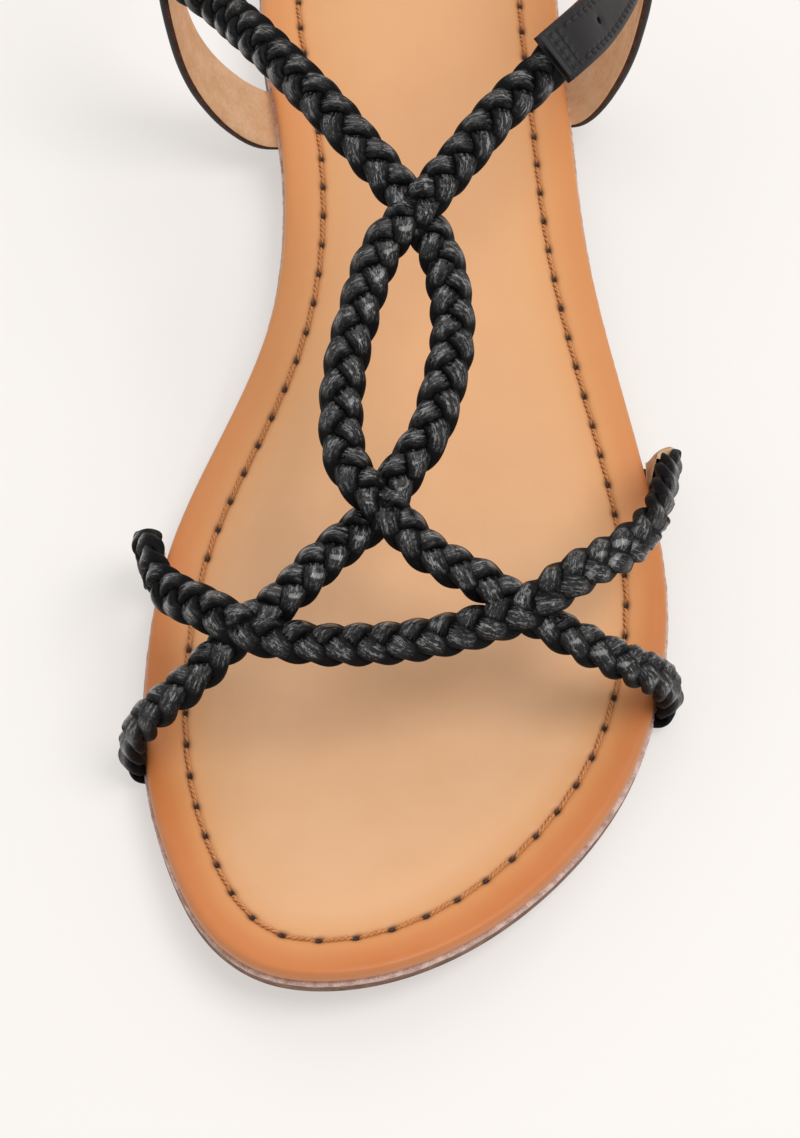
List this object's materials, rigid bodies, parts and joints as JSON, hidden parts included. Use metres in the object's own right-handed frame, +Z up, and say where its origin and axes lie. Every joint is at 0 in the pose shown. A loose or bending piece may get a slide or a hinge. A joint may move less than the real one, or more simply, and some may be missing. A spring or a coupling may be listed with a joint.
{
  "type": "braided leather sandal",
  "caption": "Left flat sandal: crossing three-strip leather braids over the forefoot and instep, a heel band, a punched ankle tab and a padded leather insole on a thin low-heeled outsole.",
  "frame": {"origin": "middle of the flat under the heel, on the floor, 30 mm in front of the footbed's heel tip", "axes": "-Y from the heel towards the toe, +X towards the outer (lateral) side of the left foot, +Z up"},
  "size_m": [0.0936, 0.2458, 0.0725],
  "materials": {
    "sole_leather": "matt taupe brown edge with a pale pink top edge line",
    "footbed_leather": "smooth satin tan, darker at the wrapped and stitched edge",
    "braid_leather": "crumpled satin to glossy black",
    "strap_leather": "smooth satin black with a red brown raw edge and a tan lining"
  },
  "bodies": {
    "root": {"outsole": "sole_leather", "insole": "footbed_leather", "braided_upper": "braid_leather", "heel_band": "strap_leather", "ankle_tab": "strap_leather"}
  },
  "joints": []
}
